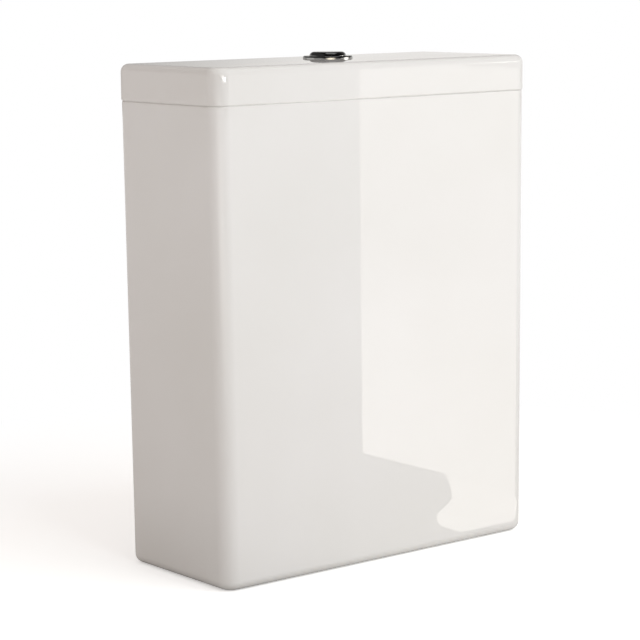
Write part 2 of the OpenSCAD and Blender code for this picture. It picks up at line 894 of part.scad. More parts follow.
module fill_head() {
    color("whitesmoke")
        at_inlet()
            translate([0, 0, head_z])
                difference() {
                    union() {
                        cylinder(r = head_r, h = head_h);
                        for (a = [30 : 60 : 330])
                            rotate([0, 0, a])
                                translate([head_r - 2, -1.5, 2])
                                    cube([3.4, 3, head_h - 8]);
                    }
                    translate([0, 0, -over])
                        cylinder(r = inlet_bore_r, h = head_h);
                    translate([0, 0, head_h / 2])
                        cylinder(r = chamber_r, h = head_h);
                }
}

module diaphragm() {
    color("dimgray")
        at_inlet()
            translate([0, 0, cap_z])
                cylinder(r = diaphragm_r, h = diaphragm_t);
}

module fill_cap() {
    ear_x = lever_w / 2 + 0.4;
    color("royalblue")
        at_inlet()
            difference() {
                union() {
                    translate([0, 0, cap_z])
                        difference() {
                            cylinder(r = cap_r, h = cap_h);
                            translate([0, 0, -over])
                                cylinder(r = diaphragm_r + 0.3, h = diaphragm_t + over);
                        }
                    translate([0, 0, cap_top - over])
                        cylinder(r1 = nozzle_r + 0.8, r2 = nozzle_r, h = nozzle_top - cap_top + over);
                    for (x = [-ear_x - lever_ear_t, ear_x]) {
                        translate([x, -lever_y - 3.4, cap_top - over])
                            cube([lever_ear_t, 6.8, lever_z - cap_top + over]);
                        translate([x, -lever_y, lever_z])
                            rotate([0, 90, 0])
                                cylinder(r = 4, h = lever_ear_t);
                    }
                }
                translate([0, -lever_y, lever_z])
                    rotate([0, 90, 0])
                        cylinder(r = lever_pin_r + pin_clear, h = 6 * lever_w, center = true);
                translate([0, 0, cap_z - over])
                    cylinder(r = bleed_r, h = nozzle_top - cap_z + 2 * over, $fn = 24);
            }
}

// Puts lever pieces drawn level about the origin, reaching along X, at the tilted pivot.
module at_lever() {
    at_inlet()
        translate([0, -lever_y, lever_z])
            rotate([0, 0, -90])
                rotate([0, lever_tilt, 0])
                    children();
}

module fill_lever() {
    color("gold")
        at_lever()
            difference() {
                union() {
                    roller(0, lever_hub_r, lever_w);
                    roller(lever_out, lever_end_r, lever_w);
                    roller(-lever_in, lever_nose_r, lever_w);
                    across(lever_w - 1)
                        polygon([[-lever_in, -1.2], [-lever_in, 1.2], [-lever_in + lever_nose_r, 1.2],
                            [0, 2.8], [lever_out - 8, 1.3], [lever_out, 1.3], [lever_out, -1.3],
                            [lever_out - 8, -1.3], [0, -2.8], [-lever_in + lever_nose_r, -1.2]]);
                }
                rotate([90, 0, 0])
                    cylinder(r = lever_pin_r + pin_clear, h = 2 * lever_w, center = true);
                translate([lever_out - fork_depth, -fork_slot / 2, -fork_cut])
                    cube([fork_depth + fork_cut, fork_slot, 2 * fork_cut]);
            }
}

module lever_pad() {
    seat = sqrt(lever_nose_r * lever_nose_r - lever_pad_r * lever_pad_r);
    color("dimgray")
        at_lever()
            difference() {
                translate([-lever_in, 0, -lever_nose_r - lever_pad_t])
                    cylinder(r = lever_pad_r, h = lever_nose_r + lever_pad_t - seat + 0.2);
                translate([-lever_in, 0, 0])
                    rotate([90, 0, 0])
                        cylinder(r = lever_nose_r, h = 2 * lever_w, center = true);
            }
}

module lever_pin() {
    length = lever_w + 0.8 + 2 * lever_ear_t + 1.5;
    color("lightgray")
        at_inlet()
            translate([-length / 2, -lever_y, lever_z])
                rotate([0, 90, 0]) {
                    cylinder(r = lever_pin_r, h = length);
                    translate([0, 0, -1])
                        cylinder(r = lever_pin_r + 1, h = 1.5);
                }
}

module fill_float() {
    span = float_front + float_back;
    mid = (float_back - float_front) / 2;
    color("lightsteelblue")
        at_inlet()
            translate([0, 0, float_z])
                difference() {
                    translate([0, mid, 0])
                        linear_extrude(height = float_h)
                            polygon(rounded(float_w, span, float_corner_r));
                    difference() {
                        translate([0, mid, -over])
                            linear_extrude(height = float_h - float_wall + over)
                                polygon(rounded(float_w - 2 * float_wall, span - 2 * float_wall,
                                    float_corner_r - float_wall));
                        translate([0, 0, -2 * over])
                            cylinder(r = sleeve_r + clear + float_wall, h = float_h + 4 * over);
                    }
                    translate([0, 0, -over])
                        cylinder(r = sleeve_r + clear, h = float_h + 2 * over);
                }
}

module float_link() {
    foot = float_z + float_h;
    low = link_end_z - lever_end_r - clear;
    high = link_end_z + lever_end_r + clear;
    color("whitesmoke")
        at_inlet()
            translate([0, -link_y, 0])
                rotate_extrude()
                    polygon([[0, foot], [link_foot_r, foot], [link_foot_r, foot + link_foot_h],
                        [link_r, foot + link_foot_h + 2], [link_r, low - link_collar_t],
                        [link_collar_r, low - link_collar_t], [link_collar_r, low], [link_r, low],
                        [link_r, high], [link_collar_r, high],
                        [link_collar_r, high + link_collar_t], [link_r, high + link_collar_t],
                        [link_r, high + link_tip], [link_r - 0.8, high + link_tip + 1],
                        [0, high + link_tip + 1]]);
}

cistern_body();
lid();
lid_pads();
button_gasket();
button_bezel();
button_housing();
button_nut();
full_button();
half_button();
full_spring();
half_spring();
full_rod();
half_rod();
valve_base();
outlet_washer();
outlet_nut();
coupling_gasket();
valve_tower();
rocker_pins();
full_rocker();
half_rocker();
valve_cup();
main_seal();
overflow_tube();
half_seal();
tube_float();
fill_shank();
fill_washer();
fill_nut();
riser_sleeve();
fill_head();
diaphragm();
fill_cap();
fill_lever();
lever_pad();
lever_pin();
fill_float();
float_link();
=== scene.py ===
import json
import math

import bmesh
import bpy
from mathutils import Matrix, Vector


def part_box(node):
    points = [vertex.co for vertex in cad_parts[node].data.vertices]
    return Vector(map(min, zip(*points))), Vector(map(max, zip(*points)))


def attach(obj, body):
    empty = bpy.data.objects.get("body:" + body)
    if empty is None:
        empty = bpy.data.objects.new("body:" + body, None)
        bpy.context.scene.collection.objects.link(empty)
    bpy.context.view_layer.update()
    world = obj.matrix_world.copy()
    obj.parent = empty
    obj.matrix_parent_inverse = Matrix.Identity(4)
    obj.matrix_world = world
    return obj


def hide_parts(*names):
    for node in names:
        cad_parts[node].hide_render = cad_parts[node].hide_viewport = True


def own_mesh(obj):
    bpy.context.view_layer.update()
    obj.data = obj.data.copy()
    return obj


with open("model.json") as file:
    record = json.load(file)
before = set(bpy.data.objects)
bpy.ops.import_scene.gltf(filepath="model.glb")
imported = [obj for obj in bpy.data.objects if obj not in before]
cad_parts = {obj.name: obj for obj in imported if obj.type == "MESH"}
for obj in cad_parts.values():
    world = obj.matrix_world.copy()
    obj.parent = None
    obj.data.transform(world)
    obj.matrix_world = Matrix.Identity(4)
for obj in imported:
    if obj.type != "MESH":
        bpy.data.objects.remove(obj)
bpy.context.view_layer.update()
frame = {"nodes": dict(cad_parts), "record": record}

# One millimetre in Blender's metres. Sizes and places below are in millimetres.
MM = 0.001
# Width and height of the photograph in pixels.
PHOTO_PX = 640


def box_mm(node):
    """Lowest and highest corner of a CAD node."""
    return [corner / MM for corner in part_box(node)]


def middle_mm(node):
    """Middle of a CAD node's box."""
    low, high = box_mm(node)
    return (low + high) / 2


# Camera at the photograph's viewing angle, fitted to the cistern's straight edges

def place_camera(spot, yaw, pitch, roll, lens_px):
    """Camera turned yaw to the right of +Y, pitch downwards and roll about its view line, in radians."""
    ahead = Vector((math.sin(yaw) * math.cos(pitch), math.cos(yaw) * math.cos(pitch), -math.sin(pitch)))
    right = Vector((math.cos(yaw), -math.sin(yaw), 0))
    up = right.cross(ahead)
    across = math.cos(roll) * right + math.sin(roll) * up
    upward = math.cos(roll) * up - math.sin(roll) * right
    camera = bpy.data.cameras.new("camera")
    camera.sensor_fit = "HORIZONTAL"
    camera.lens = lens_px / PHOTO_PX * camera.sensor_width
    camera.clip_start = 50 * MM
    obj = bpy.data.objects.new("camera", camera)
    turn = Matrix((across, upward, -ahead)).transposed().to_4x4()
    obj.matrix_world = Matrix.Translation(Vector(spot) * MM) @ turn
    bpy.context.scene.collection.objects.link(obj)
    bpy.context.scene.camera = obj


place_camera(spot=(-1275.80, -1576.09, 516.52), yaw=0.675847, pitch=0.151888, roll=-0.0109752,
             lens_px=2296)


# Colours and shader nodes

def linear(code):
    """Linear colour of an sRGB hex code."""
    parts = [int(code[i:i + 2], 16) / 255 for i in (1, 3, 5)]
    return tuple(c / 12.92 if c <= 0.04045 else ((c + 0.055) / 1.055) ** 2.4 for c in parts) + (1.0,)


def add(tree, kind, sockets=None, **settings):
    """A node of that kind. A socket takes a number, a colour or another node's output."""
    node = tree.nodes.new(kind)
    for name, value in settings.items():
        setattr(node, name, value)
    for name, value in (sockets or {}).items():
        if isinstance(value, bpy.types.NodeSocket):
            tree.links.new(value, node.inputs[name])
        else:
            node.inputs[name].default_value = value
    return node


def new_material(name):
    """An empty material, its node tree and the place on the piece's surface in metres."""
    material = bpy.data.materials.new(name)
    material.use_nodes = True
    tree = material.node_tree
    tree.nodes.clear()
    place = add(tree, "ShaderNodeTexCoord").outputs["Object"]
    return material, tree, place


def patches(size):
    """Texture scale at which a pattern's patches are about size across."""
    return 1 / (size * MM)


# Materials, each named for what it is and how its surface was made

# Values of a noise pattern between which a finish goes from its least to its most.
NOISE_LOW, NOISE_HIGH = 0.3, 0.7


def glazed_vitreous_china():
    """Slip-cast china under a fired gloss glaze. The eye gets a soft white and mirror-sharp reflections
    that wander a little, because the glaze pooled unevenly. The foot was wiped bare, and is matt and
    cream."""
    bare_up_to, glazed_from, bare_rough = 0.2, 1.2, 0.75
    material, tree, place = new_material("glazed_vitreous_china")
    body = add(tree, "ShaderNodeTexNoise", {"Vector": place, "Scale": patches(160)})
    white = add(tree, "ShaderNodeMix", {"Factor": body.outputs["Fac"], "A": linear("#F7F5F4"),
                                        "B": linear("#EDEBE7")}, data_type="RGBA")
    height = add(tree, "ShaderNodeSeparateXYZ", {"Vector": place})
    foot = add(tree, "ShaderNodeMapRange", {"Value": height.outputs["Z"], "From Min": bare_up_to * MM,
                                            "From Max": glazed_from * MM, "To Min": 1.0, "To Max": 0.0})
    colour = add(tree, "ShaderNodeMix", {"Factor": foot.outputs["Result"], "A": white.outputs["Result"],
                                         "B": linear("#DDD2C0")}, data_type="RGBA")
    haze = add(tree, "ShaderNodeTexNoise", {"Vector": place, "Scale": patches(70)})
    glaze = add(tree, "ShaderNodeMapRange", {"Value": haze.outputs["Fac"], "From Min": NOISE_LOW,
                                             "From Max": NOISE_HIGH, "To Min": 0.006, "To Max": 0.018})
    rough = add(tree, "ShaderNodeMix", {"Factor": foot.outputs["Result"], "A": glaze.outputs["Result"],
                                        "B": bare_rough})
    pooling = add(tree, "ShaderNodeTexNoise", {"Vector": place, "Scale": patches(95), "Detail": 1.0})
    ripple = add(tree, "ShaderNodeBump", {"Height": pooling.outputs["Fac"], "Distance": 0.09 * MM})
    pores = add(tree, "ShaderNodeTexNoise", {"Vector": place, "Scale": patches(7), "Detail": 1.0})
    peel = add(tree, "ShaderNodeBump", {"Height": pores.outputs["Fac"], "Distance": 0.0012 * MM,
                                        "Normal": ripple.outputs["Normal"]})
    shader = add(tree, "ShaderNodeBsdfPrincipled", {"Base Color": colour.outputs["Result"],
                                                    "Roughness": rough.outputs["Result"], "IOR": 1.52,
                                                    "Normal": peel.outputs["Normal"]})
    add(tree, "ShaderNodeOutputMaterial", {"Surface": shader.outputs["BSDF"]})
    return material


def bright_chrome_plating():
    """Chrome plated over polished moulded plastic. The eye gets a hard mirror with a faint haze from
    wiping, and slow waves where the moulding sank as it cooled."""
    material, tree, place = new_material("bright_chrome_plating")
    film = add(tree, "ShaderNodeTexNoise", {"Vector": place, "Scale": patches(9)})
    colour = add(tree, "ShaderNodeMix", {"Factor": film.outputs["Fac"], "A": linear("#B4B6B5"),
                                         "B": linear("#CCCBC8")}, data_type="RGBA")
    wiping = add(tree, "ShaderNodeTexNoise", {"Vector": place, "Scale": patches(4), "Detail": 4.0})
    rough = add(tree, "ShaderNodeMapRange", {"Value": wiping.outputs["Fac"], "From Min": NOISE_LOW,
                                             "From Max": NOISE_HIGH, "To Min": 0.07, "To Max": 0.15})
    sinking = add(tree, "ShaderNodeTexNoise", {"Vector": place, "Scale": patches(14), "Detail": 1.0})
    wave = add(tree, "ShaderNodeBump", {"Height": sinking.outputs["Fac"], "Distance": 0.012 * MM})
    shader = add(tree, "ShaderNodeBsdfPrincipled", {"Base Color": colour.outputs["Result"], "Metallic": 1.0,
                                                    "Roughness": rough.outputs["Result"],
                                                    "Normal": wave.outputs["Normal"]})
    add(tree, "ShaderNodeOutputMaterial", {"Surface": shader.outputs["BSDF"]})
    return material


def moulded_plastic(name, dark, light, shine, ior, glow):
    """Injection moulded plastic. The eye gets an even colour with faint flow clouds, a soft satin shine and
    the fine grain of a spark-eroded mould, which is drawn coarser than it is so that it shows."""
    material, tree, place = new_material(name)
    flow = add(tree, "ShaderNodeTexNoise", {"Vector": place, "Scale": patches(22), "Detail": 3.0})
    colour = add(tree, "ShaderNodeMix", {"Factor": flow.outputs["Fac"], "A": linear(dark),
                                         "B": linear(light)}, data_type="RGBA")
    handling = add(tree, "ShaderNodeTexNoise", {"Vector": place, "Scale": patches(6), "Detail": 3.0})
    rough = add(tree, "ShaderNodeMapRange", {"Value": handling.outputs["Fac"], "From Min": NOISE_LOW,
                                             "From Max": NOISE_HIGH, "To Min": shine,
                                             "To Max": shine + 0.12})
    sparks = add(tree, "ShaderNodeTexNoise", {"Vector": place, "Scale": patches(0.9)})
    grain = add(tree, "ShaderNodeBump", {"Height": sparks.outputs["Fac"], "Distance": 0.012 * MM})
    shader = add(tree, "ShaderNodeBsdfPrincipled", {"Base Color": colour.outputs["Result"], "IOR": ior,
                                                    "Roughness": rough.outputs["Result"],
                                                    "Normal": grain.outputs["Normal"],
                                                    "Subsurface Weight": glow,
                                                    "Subsurface Radius": (1.0, 1.0, 1.0),
                                                    "Subsurface Scale": 0.6 * MM})
    add(tree, "ShaderNodeOutputMaterial", {"Surface": shader.outputs["BSDF"]})
    return material


def moulded_rubber(name, dark, dusty, shine):
    """Press-moulded rubber. The eye gets a dull, deep colour with a paler bloom in patches and a fine grain
    from the mould, which is drawn coarser than it is so that it shows."""
    material, tree, place = new_material(name)
    bloom = add(tree, "ShaderNodeTexNoise", {"Vector": place, "Scale": patches(11), "Detail": 5.0})
    colour = add(tree, "ShaderNodeMix", {"Factor": bloom.outputs["Fac"], "A": linear(dark),
                                         "B": linear(dusty)}, data_type="RGBA")
    rough = add(tree, "ShaderNodeMapRange", {"Value": bloom.outputs["Fac"], "From Min": NOISE_LOW,
                                             "From Max": NOISE_HIGH, "To Min": shine,
                                             "To Max": shine + 0.2})
    mould = add(tree, "ShaderNodeTexNoise", {"Vector": place, "Scale": patches(0.6), "Detail": 3.0})
    grain = add(tree, "ShaderNodeBump", {"Height": mould.outputs["Fac"], "Distance": 0.03 * MM})
    shader = add(tree, "ShaderNodeBsdfPrincipled", {"Base Color": colour.outputs["Result"], "IOR": 1.5,
                                                    "Roughness": rough.outputs["Result"],
                                                    "Normal": grain.outputs["Normal"]})
    add(tree, "ShaderNodeOutputMaterial", {"Surface": shader.outputs["BSDF"]})
    return material


def drawn_steel_wire():
    """Stainless wire pulled through a die. The eye gets a grey metal with fine bright lines along its
    length, drawn coarser than they are so that they show."""
    material, tree, place = new_material("drawn_steel_wire")
    along = add(tree, "ShaderNodeMapping", {"Vector": place, "Scale": (1.0, 0.05, 1.0)})
    lines = add(tree, "ShaderNodeTexNoise", {"Vector": along.outputs["Vector"], "Scale": patches(0.25),
                                             "Detail": 3.0})
    colour = add(tree, "ShaderNodeMix", {"Factor": lines.outputs["Fac"], "A": linear("#9FA1A3"),
                                         "B": linear("#CBCCCD")}, data_type="RGBA")
    rough = add(tree, "ShaderNodeMapRange", {"Value": lines.outputs["Fac"], "From Min": NOISE_LOW,
                                             "From Max": NOISE_HIGH, "To Min": 0.18, "To Max": 0.34})
    scratch = add(tree, "ShaderNodeBump", {"Height": lines.outputs["Fac"], "Distance": 0.006 * MM})
    shader = add(tree, "ShaderNodeBsdfPrincipled", {"Base Color": colour.outputs["Result"], "Metallic": 1.0,
                                                    "Roughness": rough.outputs["Result"],
                                                    "Normal": scratch.outputs["Normal"]})
    add(tree, "ShaderNodeOutputMaterial", {"Surface": shader.outputs["BSDF"]})
    return material


FINISHES = {
    "glazed_ceramic": glazed_vitreous_china(),
    "chrome_plate": bright_chrome_plating(),
    "steel": drawn_steel_wire(),
    "black_rubber": moulded_rubber("moulded_black_rubber", "#141415", "#303031", shine=0.5),
    "red_silicone": moulded_rubber("moulded_red_silicone", "#83231C", "#A1372E", shine=0.35),
    "white_plastic": moulded_plastic("moulded_white_acetal", "#E1E2E1", "#F2F2EE",
                                     shine=0.28, ior=1.48, glow=0.15),
    "blue_plastic": moulded_plastic("moulded_blue_abs", "#1F4E92", "#3066AE",
                                    shine=0.24, ior=1.53, glow=0.0),
    "grey_plastic": moulded_plastic("moulded_grey_polypropylene", "#82878C", "#A1A6AA",
                                    shine=0.34, ior=1.49, glow=0.05),
}


def dress(obj, slot):
    """Gives a piece the finish of one material slot all over."""
    obj.data.materials.clear()
    obj.data.materials.append(FINISHES[slot])


SLOTS = {part["node"]: part["material_slot"] for part in frame["record"]["subparts"]}
for node_name, slot_name in SLOTS.items():
    dress(frame["nodes"][node_name], slot_name)


# Shaping tools

def to_object(name, mesh):
    """A linked object from a bmesh, which is freed."""
    bmesh.ops.recalc_face_normals(mesh, faces=mesh.faces)
    data = bpy.data.meshes.new(name)
    mesh.to_mesh(data)
    mesh.free()
    obj = bpy.data.objects.new(name, data)
    bpy.context.scene.collection.objects.link(obj)
    return obj


def arc(x, y, r, start, end, steps):
    """Points of an arc about (x, y), between two angles in degrees."""
    angles = [math.radians(start + (end - start) * i / steps) for i in range(steps + 1)]
    return [(x + r * math.cos(a), y + r * math.sin(a)) for a in angles]


def corners(w, d, front_r, back_r, z):
    """Points round a rectangle with round corners at height z."""
    outline = []
    for x, y, r, start in ((-w / 2 + front_r, -d / 2 + front_r, front_r, 180),
                           (w / 2 - front_r, -d / 2 + front_r, front_r, 270),
                           (w / 2 - back_r, d / 2 - back_r, back_r, 0),
                           (-w / 2 + back_r, d / 2 - back_r, back_r, 90)):
        outline += arc(x, y, r, start, start + 90, 16)
    return [(x, y, z) for x, y in outline]


def vessel(w0, w1, d, front_r, back_r, z, h, low, high, low_turn=90, high_turn=90, steps=12):
    """Rings of a box from z up by h, w0 wide below and w1 above. Its lower and upper edges are rounded with
    the radii low and high, each through the degrees of its turn."""
    rings = []
    first = math.radians(90 - low_turn)
    for i in range(steps + 1 if low else 1):
        a = first + math.radians(low_turn) * i / steps
        inset = low * (1 - math.sin(a))
        rings.append(corners(w0 - 2 * inset, d - 2 * inset, front_r - inset, back_r - inset,
                             z + low * (math.cos(first) - math.cos(a))))
    last = math.radians(high_turn)
    for i in range(steps + 1 if high else 1):
        a = last * i / steps
        inset = high * (1 - math.cos(a))
        rings.append(corners(w1 - 2 * inset, d - 2 * inset, front_r - inset, back_r - inset,
                             z + h - high * (math.sin(last) - math.sin(a))))
    return rings


def crown(w, d, front_r, back_r, inset, z, rise, bend, steps=18):
    """Rings that close a top from an inset edge, higher by rise in the middle than at the edge. The greater
    the bend, the flatter the middle."""
    # The rings stop just short of the middle, lie closer together near the edge and get rounder corners.
    stop, crowd, rounder = 0.95, 1.5, 0.6
    rings = []
    reach = d / 2 - inset
    for i in range(1, steps + 1):
        t = stop * (i / steps) ** crowd
        side = inset + reach * t
        rounds = [min(r - inset + rounder * reach * t, stop * reach * (1 - t)) for r in (front_r, back_r)]
        rings.append(corners(w - 2 * side, d - 2 * side, *rounds, z + rise * (1 - (1 - t) ** bend)))
    return rings


def loft(name, rings):
    """Closed mesh through a stack of rings."""
    mesh = bmesh.new()
    rows = [[mesh.verts.new(Vector(p) * MM) for p in points] for points in rings]
    for lower, upper in zip(rows, rows[1:]):
        for i in range(len(lower)):
            j = (i + 1) % len(lower)
            mesh.faces.new((lower[i], lower[j], upper[j], upper[i]))
    mesh.faces.new(rows[0][::-1])
    mesh.faces.new(rows[-1])
    return to_object(name, mesh)


def block(x0, x1, y0, y1, z0, z1):
    """Tool for cutting a straight-sided piece off."""
    return loft("block", [[(x0, y0, z), (x1, y0, z), (x1, y1, z), (x0, y1, z)] for z in (z0, z1)])


def turned(name, outline, x=0, y=0, steps=96, thread=None):
    """Solid of revolution about an upright axis at (x, y), from a closed outline of (radius, height)
    points. A thread, (radius, low, high, pitch, depth), is cut into the rows that lie on its radius."""
    mesh = bmesh.new()
    rows = []
    for r, z in outline:
        row = []
        for i in range(steps if r > 0 else 1):
            a = math.tau * i / steps
            left = r - (thread_cut(thread, r, z, i / steps) if thread else 0)
            point = Vector((x + left * math.cos(a), y + left * math.sin(a), z))
            row.append(mesh.verts.new(point * MM))
        rows.append(row)
    for lower, upper in zip(rows, rows[1:] + rows[:1]):
        for i in range(steps):
            round_face = ((lower, i), (lower, i + 1), (upper, i + 1), (upper, i))
            quad = [row[k % len(row)] for row, k in round_face]
            face = list(dict.fromkeys(quad))
            if len(face) > 2:
                mesh.faces.new(face)
    return to_object(name, mesh)


def thread_cut(thread, r, z, turn):
    """Depth of a screw thread at height z, at a share of a turn. The groove fades in and out over one
    pitch."""
    radius, low, high, pitch, depth = thread
    if abs(r - radius) > 0.001 or not low < z < high:
        return 0
    phase = (z / pitch - turn) % 1
    # The groove is full depth over a third of the pitch, with a flank of a sixth at either side.
    groove = min(1, max(0, 2 - abs(phase - 0.5) * 6))
    return depth * groove * min(1, (z - low) / pitch, (high - z) / pitch)


def thread_rows(r, low, high, pitch):
    """Outline points on a threaded stretch, close enough together to show its grooves."""
    per_pitch = 8
    count = round(per_pitch * (high - low) / pitch)
    return [(r, low + (high - low) * i / count) for i in range(count + 1)]


def settle(obj):
    """Makes the result of a piece's modifiers its own mesh."""
    shape = bpy.data.meshes.new_from_object(obj.evaluated_get(bpy.context.evaluated_depsgraph_get()))
    old = obj.data
    obj.modifiers.clear()
    obj.data = shape
    bpy.data.meshes.remove(old)


def carve(obj, tools, operation="DIFFERENCE"):
    """Cuts tools out of a piece, or joins them to it, and clears the tools away."""
    for tool in tools:
        change = obj.modifiers.new("carve", "BOOLEAN")
        change.operation = operation
        change.solver = "EXACT"
        change.object = tool
        settle(obj)
        shape = tool.data
        bpy.data.objects.remove(tool)
        bpy.data.meshes.remove(shape)


def soften(obj, radius):
    """Rounds what edges are still sharp."""
    edge = obj.modifiers.new("soften", "BEVEL")
    edge.width = radius * MM
    edge.segments = 3
    edge.limit_method = "ANGLE"
    edge.angle_limit = math.radians(50)
    settle(obj)


def smooth(obj):
    """Shades a piece smoothly, with its flat faces kept flat."""
    obj.data.shade_smooth()
    obj.data.set_sharp_from_angle(angle=math.radians(35))
    even = obj.modifiers.new("even", "WEIGHTED_NORMAL")
    even.keep_sharp = True
    settle(obj)


def ease_edges(obj, radius):
    """Takes the sharpness off the edges of a CAD piece, as moulding does."""
    join = obj.modifiers.new("join", "WELD")
    join.merge_threshold = 0.01 * MM
    edge = obj.modifiers.new("ease", "BEVEL")
    edge.width = radius * MM
    edge.segments = 2
    edge.limit_method = "ANGLE"
    edge.angle_limit = math.radians(40)
    even = obj.modifiers.new("even", "WEIGHTED_NORMAL")
    even.weight = 50


# CAD nodes whose place a finished piece has taken.
STOOD_FOR = set()


def stand_for(obj, node):
    """Lets a finished piece take the place of a CAD node, on the node's own body and in its material."""
    STOOD_FOR.add(node)
    dress(obj, SLOTS[node])
    bodies = frame["record"]["behaviour"]["bodies"]
    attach(obj, next(body for body, nodes in bodies.items() if node in nodes))
    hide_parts(node)


# Ceramic pieces

FRONT_R, BACK_R = 14, 10
TANK_FLOOR_LOW, TANK_FLOOR_TOP = 40, 52
# Rounding of the two edges that meet at the seam, and the degrees that it turns through.
SEAM_R, SEAM_TURN = 2.4, 44
# How much higher the lid's top is in the middle than at its edge, and how far its middle stays flat.
LID_CROWN, CROWN_BEND = 0.9, 2.2
# Recess in the lid's top that the button's ring sits over.
SEAT_R = 21
# How far a tool reaches past the face that it cuts through or is joined to.
PAST, FAR_PAST = 1, 5


def make_tank():
    """The tank: outside, hollow, recess under the floor, holes in the floor and the gap for the hose."""
    low, high = box_mm("cistern_body")
    w, d, rim = high.x - low.x, high.y - low.y, high.z
    taper, foot_r, edge_r = 6, 8, 1.6
    base_w = w - taper
    tank = loft("tank_shell", vessel(base_w, w, d, FRONT_R, BACK_R, 0, rim, foot_r, SEAM_R, 90, SEAM_TURN))
    wall, hollow_r, hollow_foot_r = 9, 12, 10
    hollow = loft("hollow", vessel(base_w - 2 * wall, w - 2 * wall, d - 2 * wall, hollow_r, hollow_r,
                                   TANK_FLOOR_TOP, rim - TANK_FLOOR_TOP + PAST, hollow_foot_r, 0))
    skirt, recess_r, recess_top_r = 14, 8, 4
    recess_w, recess_d = base_w - 2 * skirt, d - 2 * skirt
    recess = loft("recess", vessel(recess_w, recess_w, recess_d, recess_r, recess_r, -PAST,
                                   TANK_FLOOR_LOW + PAST, 0, recess_top_r))
    inlet = middle_mm("fill_shank")
    outlet_r, inlet_r = 32.5, 12
    bolt_x, bolt_r = 75, 7
    hole_low, hole_top = TANK_FLOOR_LOW - FAR_PAST, TANK_FLOOR_TOP + FAR_PAST
    holes = [turned("hole", [(0, hole_low), (r, hole_low), (r, hole_top), (0, hole_top)], x, y)
             for x, y, r in ((0, 0, outlet_r), (-bolt_x, 0, bolt_r), (bolt_x, 0, bolt_r),
                             (inlet.x, inlet.y, inlet_r))]
    gap_w, gap_h, gap_r = 220, 30, 10
    gap_inside, gap_outside = d / 2 - skirt - 4, d / 2 + 8
    gap = [(-gap_w / 2, -PAST)] + arc(-gap_w / 2 + gap_r, gap_h - gap_r, gap_r, 180, 90, 10)
    gap += arc(gap_w / 2 - gap_r, gap_h - gap_r, gap_r, 90, 0, 10) + [(gap_w / 2, -PAST)]
    notch = loft("notch", [[(x, y, z) for x, z in gap] for y in (gap_inside, gap_outside)])
    carve(tank, [hollow, recess, notch] + holes)
    soften(tank, edge_r)
    smooth(tank)
    stand_for(tank, "cistern_body")


def make_lid():
    """The lid: outside, hollow, four lugs that keep it on the tank, pockets for the pads and the button's
    hole."""
    low, high = box_mm("lid")
    pads_low, pads_high = box_mm("lid_pads")
    w, d, top = high.x - low.x, high.y - low.y, high.z
    seam_gap, top_r, edge_r = 0.1, 7, 1.2
    edge = pads_low.z + seam_gap
    turn = 90 - math.degrees(math.atan(CROWN_BEND * LID_CROWN / (d / 2 - top_r)))
    inset = top_r * (1 - math.cos(math.radians(turn)))
    rings = vessel(w, w, d, FRONT_R, BACK_R, edge, top - edge, SEAM_R, top_r, SEAM_TURN, turn)
    rings += crown(w, d, FRONT_R, BACK_R, inset, top, LID_CROWN, CROWN_BEND)
    lid = loft("lid_shell", rings)
    wall, thick, hollow_r, hollow_top_r = 11, 10, 10, 4
    hollow_w, hollow_d = w - 2 * wall, d - 2 * wall
    hollow = loft("hollow", vessel(hollow_w, hollow_w, hollow_d, hollow_r, hollow_r, edge - PAST,
                                   top - thick - edge + PAST, 0, hollow_top_r))
    carve(lid, [hollow])
    # Section of a lug. It reaches into the lid's wall and roof, and goes down inside the tank to its toe.
    lug_x, lug_len = 105, 40
    lug_wall, lug_face, lug_toe, lug_back, lug_root = 62, 59, 57.5, 53, 51
    lug_low, lug_top, lead_in = edge + 2, top - 9, 1.5
    lug = [(lug_wall, lug_low), (lug_wall, lug_top), (lug_root, lug_top), (lug_back, low.z),
           (lug_toe, low.z), (lug_face, low.z + lead_in), (lug_face, lug_low)]
    lugs = [loft("lug", [[(x + end, side * y, z) for y, z in lug] for end in (-lug_len / 2, lug_len / 2)])
            for x in (-lug_x, lug_x) for side in (-1, 1)]
    carve(lid, lugs, "UNION")
    soften(lid, edge_r)
    hole_r, hole_top = 19.5, top + FAR_PAST
    carve(lid, [turned("hole", [(0, edge), (hole_r, edge), (hole_r, top), (SEAT_R, top),
                                (SEAT_R, hole_top), (0, hole_top)])])
    pad_len, pad_w, spare, pocket_r = 24, 5.4, 0.15, 1.65
    pockets = []
    for x in (pads_low.x + pad_len / 2, pads_high.x - pad_len / 2):
        for y in (pads_low.y + pad_w / 2, pads_high.y - pad_w / 2):
            rings = [corners(pad_len + 2 * spare, pad_w + 2 * spare, pocket_r, pocket_r, z)
                     for z in (edge - PAST, pads_high.z)]
            moved = [[(x + px, y + py, z) for px, py, z in points] for points in rings]
            pockets.append(loft("pocket", moved))
    carve(lid, pockets)
    smooth(lid)
    stand_for(lid, "lid")


make_tank()
make_lid()


# Button unit

BUTTON_R = 16.3
LIP_GAP = 0.3
LIP_R = BUTTON_R + LIP_GAP
LIP_T = 1
ROD_R = 2.5


